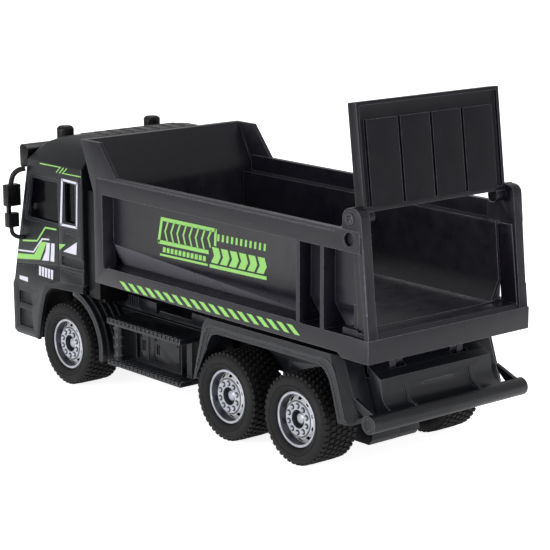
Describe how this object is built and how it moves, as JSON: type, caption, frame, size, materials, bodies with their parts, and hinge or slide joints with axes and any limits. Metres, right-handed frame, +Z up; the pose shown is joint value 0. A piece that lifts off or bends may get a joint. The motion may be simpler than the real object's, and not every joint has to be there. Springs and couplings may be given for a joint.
{
  "type": "toy dump truck",
  "caption": "Plastic toy tipper truck with a cab, rolling axles with a friction flywheel drive, a bed that tips to the rear and a tailgate that swings on a top hinge.",
  "frame": {"origin": "on the ground under the middle of the truck", "axes": "+X is the truck's left, -Y is forward (the cab's end), +Y is the rear, +Z is up"},
  "size_m": [0.098, 0.2374, 0.1416],
  "materials": {
    "charcoal_plastic": "satin charcoal moulded plastic with fine grain",
    "bed_plastic": "satin charcoal moulded plastic, glossier inside the tub, green printed marks outside",
    "black_plastic": "black moulded plastic",
    "tyre_rubber": "soft black rubber with block tread",
    "silver_plastic": "silver-coated plastic with dark painted recesses",
    "smoked_glass": "dark tinted clear plastic",
    "lamp_lens": "pale clear lamp plastic",
    "nylon": "white nylon gears",
    "brass": "turned brass",
    "steel": "plated steel"
  },
  "bodies": {
    "chassis": {"air_intake": "black_plastic", "beacon_left": "black_plastic", "beacon_right": "black_plastic", "bed_hinge_pin": "steel", "cab_interior": "black_plastic", "cab_screw": "steel", "cab_shell": "charcoal_plastic", "cab_windows": "smoked_glass", "chassis_frame": "charcoal_plastic", "front_axle_keeper": "charcoal_plastic", "front_keeper_screw": "steel", "front_mudguard_left": "charcoal_plastic", "front_mudguard_right": "charcoal_plastic", "gearbox_half_left": "charcoal_plastic", "gearbox_half_right": "charcoal_plastic", "grille": "black_plastic", "headlight_left": "lamp_lens", "headlight_right": "lamp_lens", "idler_shaft": "steel", "middle_axle_keeper": "charcoal_plastic", "middle_keeper_screw": "steel", "mirror_left": "black_plastic", "mirror_right": "black_plastic", "rear_bumper": "charcoal_plastic", "rear_fender_left": "charcoal_plastic", "rear_fender_right": "charcoal_plastic", "step_box_left": "charcoal_plastic", "step_box_right": "charcoal_plastic", "sun_visor": "black_plastic"},
    "front_wheelset": {"front_axle": "steel", "tyre_front_left": "tyre_rubber", "tyre_front_right": "tyre_rubber", "rim_front_left": "silver_plastic", "rim_front_right": "silver_plastic"},
    "middle_wheelset": {"middle_axle": "steel", "tyre_middle_left": "tyre_rubber", "tyre_middle_right": "tyre_rubber", "rim_middle_left": "silver_plastic", "rim_middle_right": "silver_plastic"},
    "rear_wheelset": {"rear_axle": "steel", "tyre_rear_left": "tyre_rubber", "tyre_rear_right": "tyre_rubber", "rim_rear_left": "silver_plastic", "rim_rear_right": "silver_plastic", "axle_gear": "nylon"},
    "idler": {"idler_gear": "nylon"},
    "flywheel_set": {"flywheel": "steel", "flywheel_pinion": "brass", "flywheel_shaft": "steel"},
    "bed": {"dump_body": "bed_plastic", "gate_pin_left": "charcoal_plastic", "gate_pin_right": "charcoal_plastic"},
    "gate": {"tailgate": "charcoal_plastic"}
  },
  "joints": [
    {"name": "front_axle_spin", "type": "hinge", "parent": "chassis", "child": "front_wheelset", "pos_m": [0, -0.076, 0.018], "axis": [1, 0, 0], "continuous": true},
    {"name": "middle_axle_spin", "type": "hinge", "parent": "chassis", "child": "middle_wheelset", "pos_m": [0, 0.0335, 0.018], "axis": [1, 0, 0], "continuous": true},
    {"name": "rear_axle_spin", "type": "hinge", "parent": "chassis", "child": "rear_wheelset", "pos_m": [0, 0.075, 0.018], "axis": [1, 0, 0], "continuous": true},
    {"name": "idler_spin", "type": "hinge", "parent": "chassis", "child": "idler", "pos_m": [0, 0.06252, 0.0234], "axis": [1, 0, 0], "continuous": true},
    {"name": "flywheel_spin", "type": "hinge", "parent": "chassis", "child": "flywheel_set", "pos_m": [0, 0.05003, 0.0206], "axis": [1, 0, 0], "continuous": true},
    {"name": "bed_tilt", "type": "hinge", "parent": "chassis", "child": "bed", "pos_m": [0, 0.0995, 0.043], "axis": [-1, 0, 0], "range_deg": [0, 45]},
    {"name": "tailgate_swing", "type": "hinge", "parent": "bed", "child": "gate", "pos_m": [0, 0.1057, 0.1003], "axis": [-1, 0, 0], "range_deg": [0, 179]}
  ],
  "couplings": [
    {"joint": "idler_spin", "follows": "rear_axle_spin", "ratio": -2.4},
    {"joint": "flywheel_spin", "follows": "rear_axle_spin", "ratio": 5.28}
  ]
}
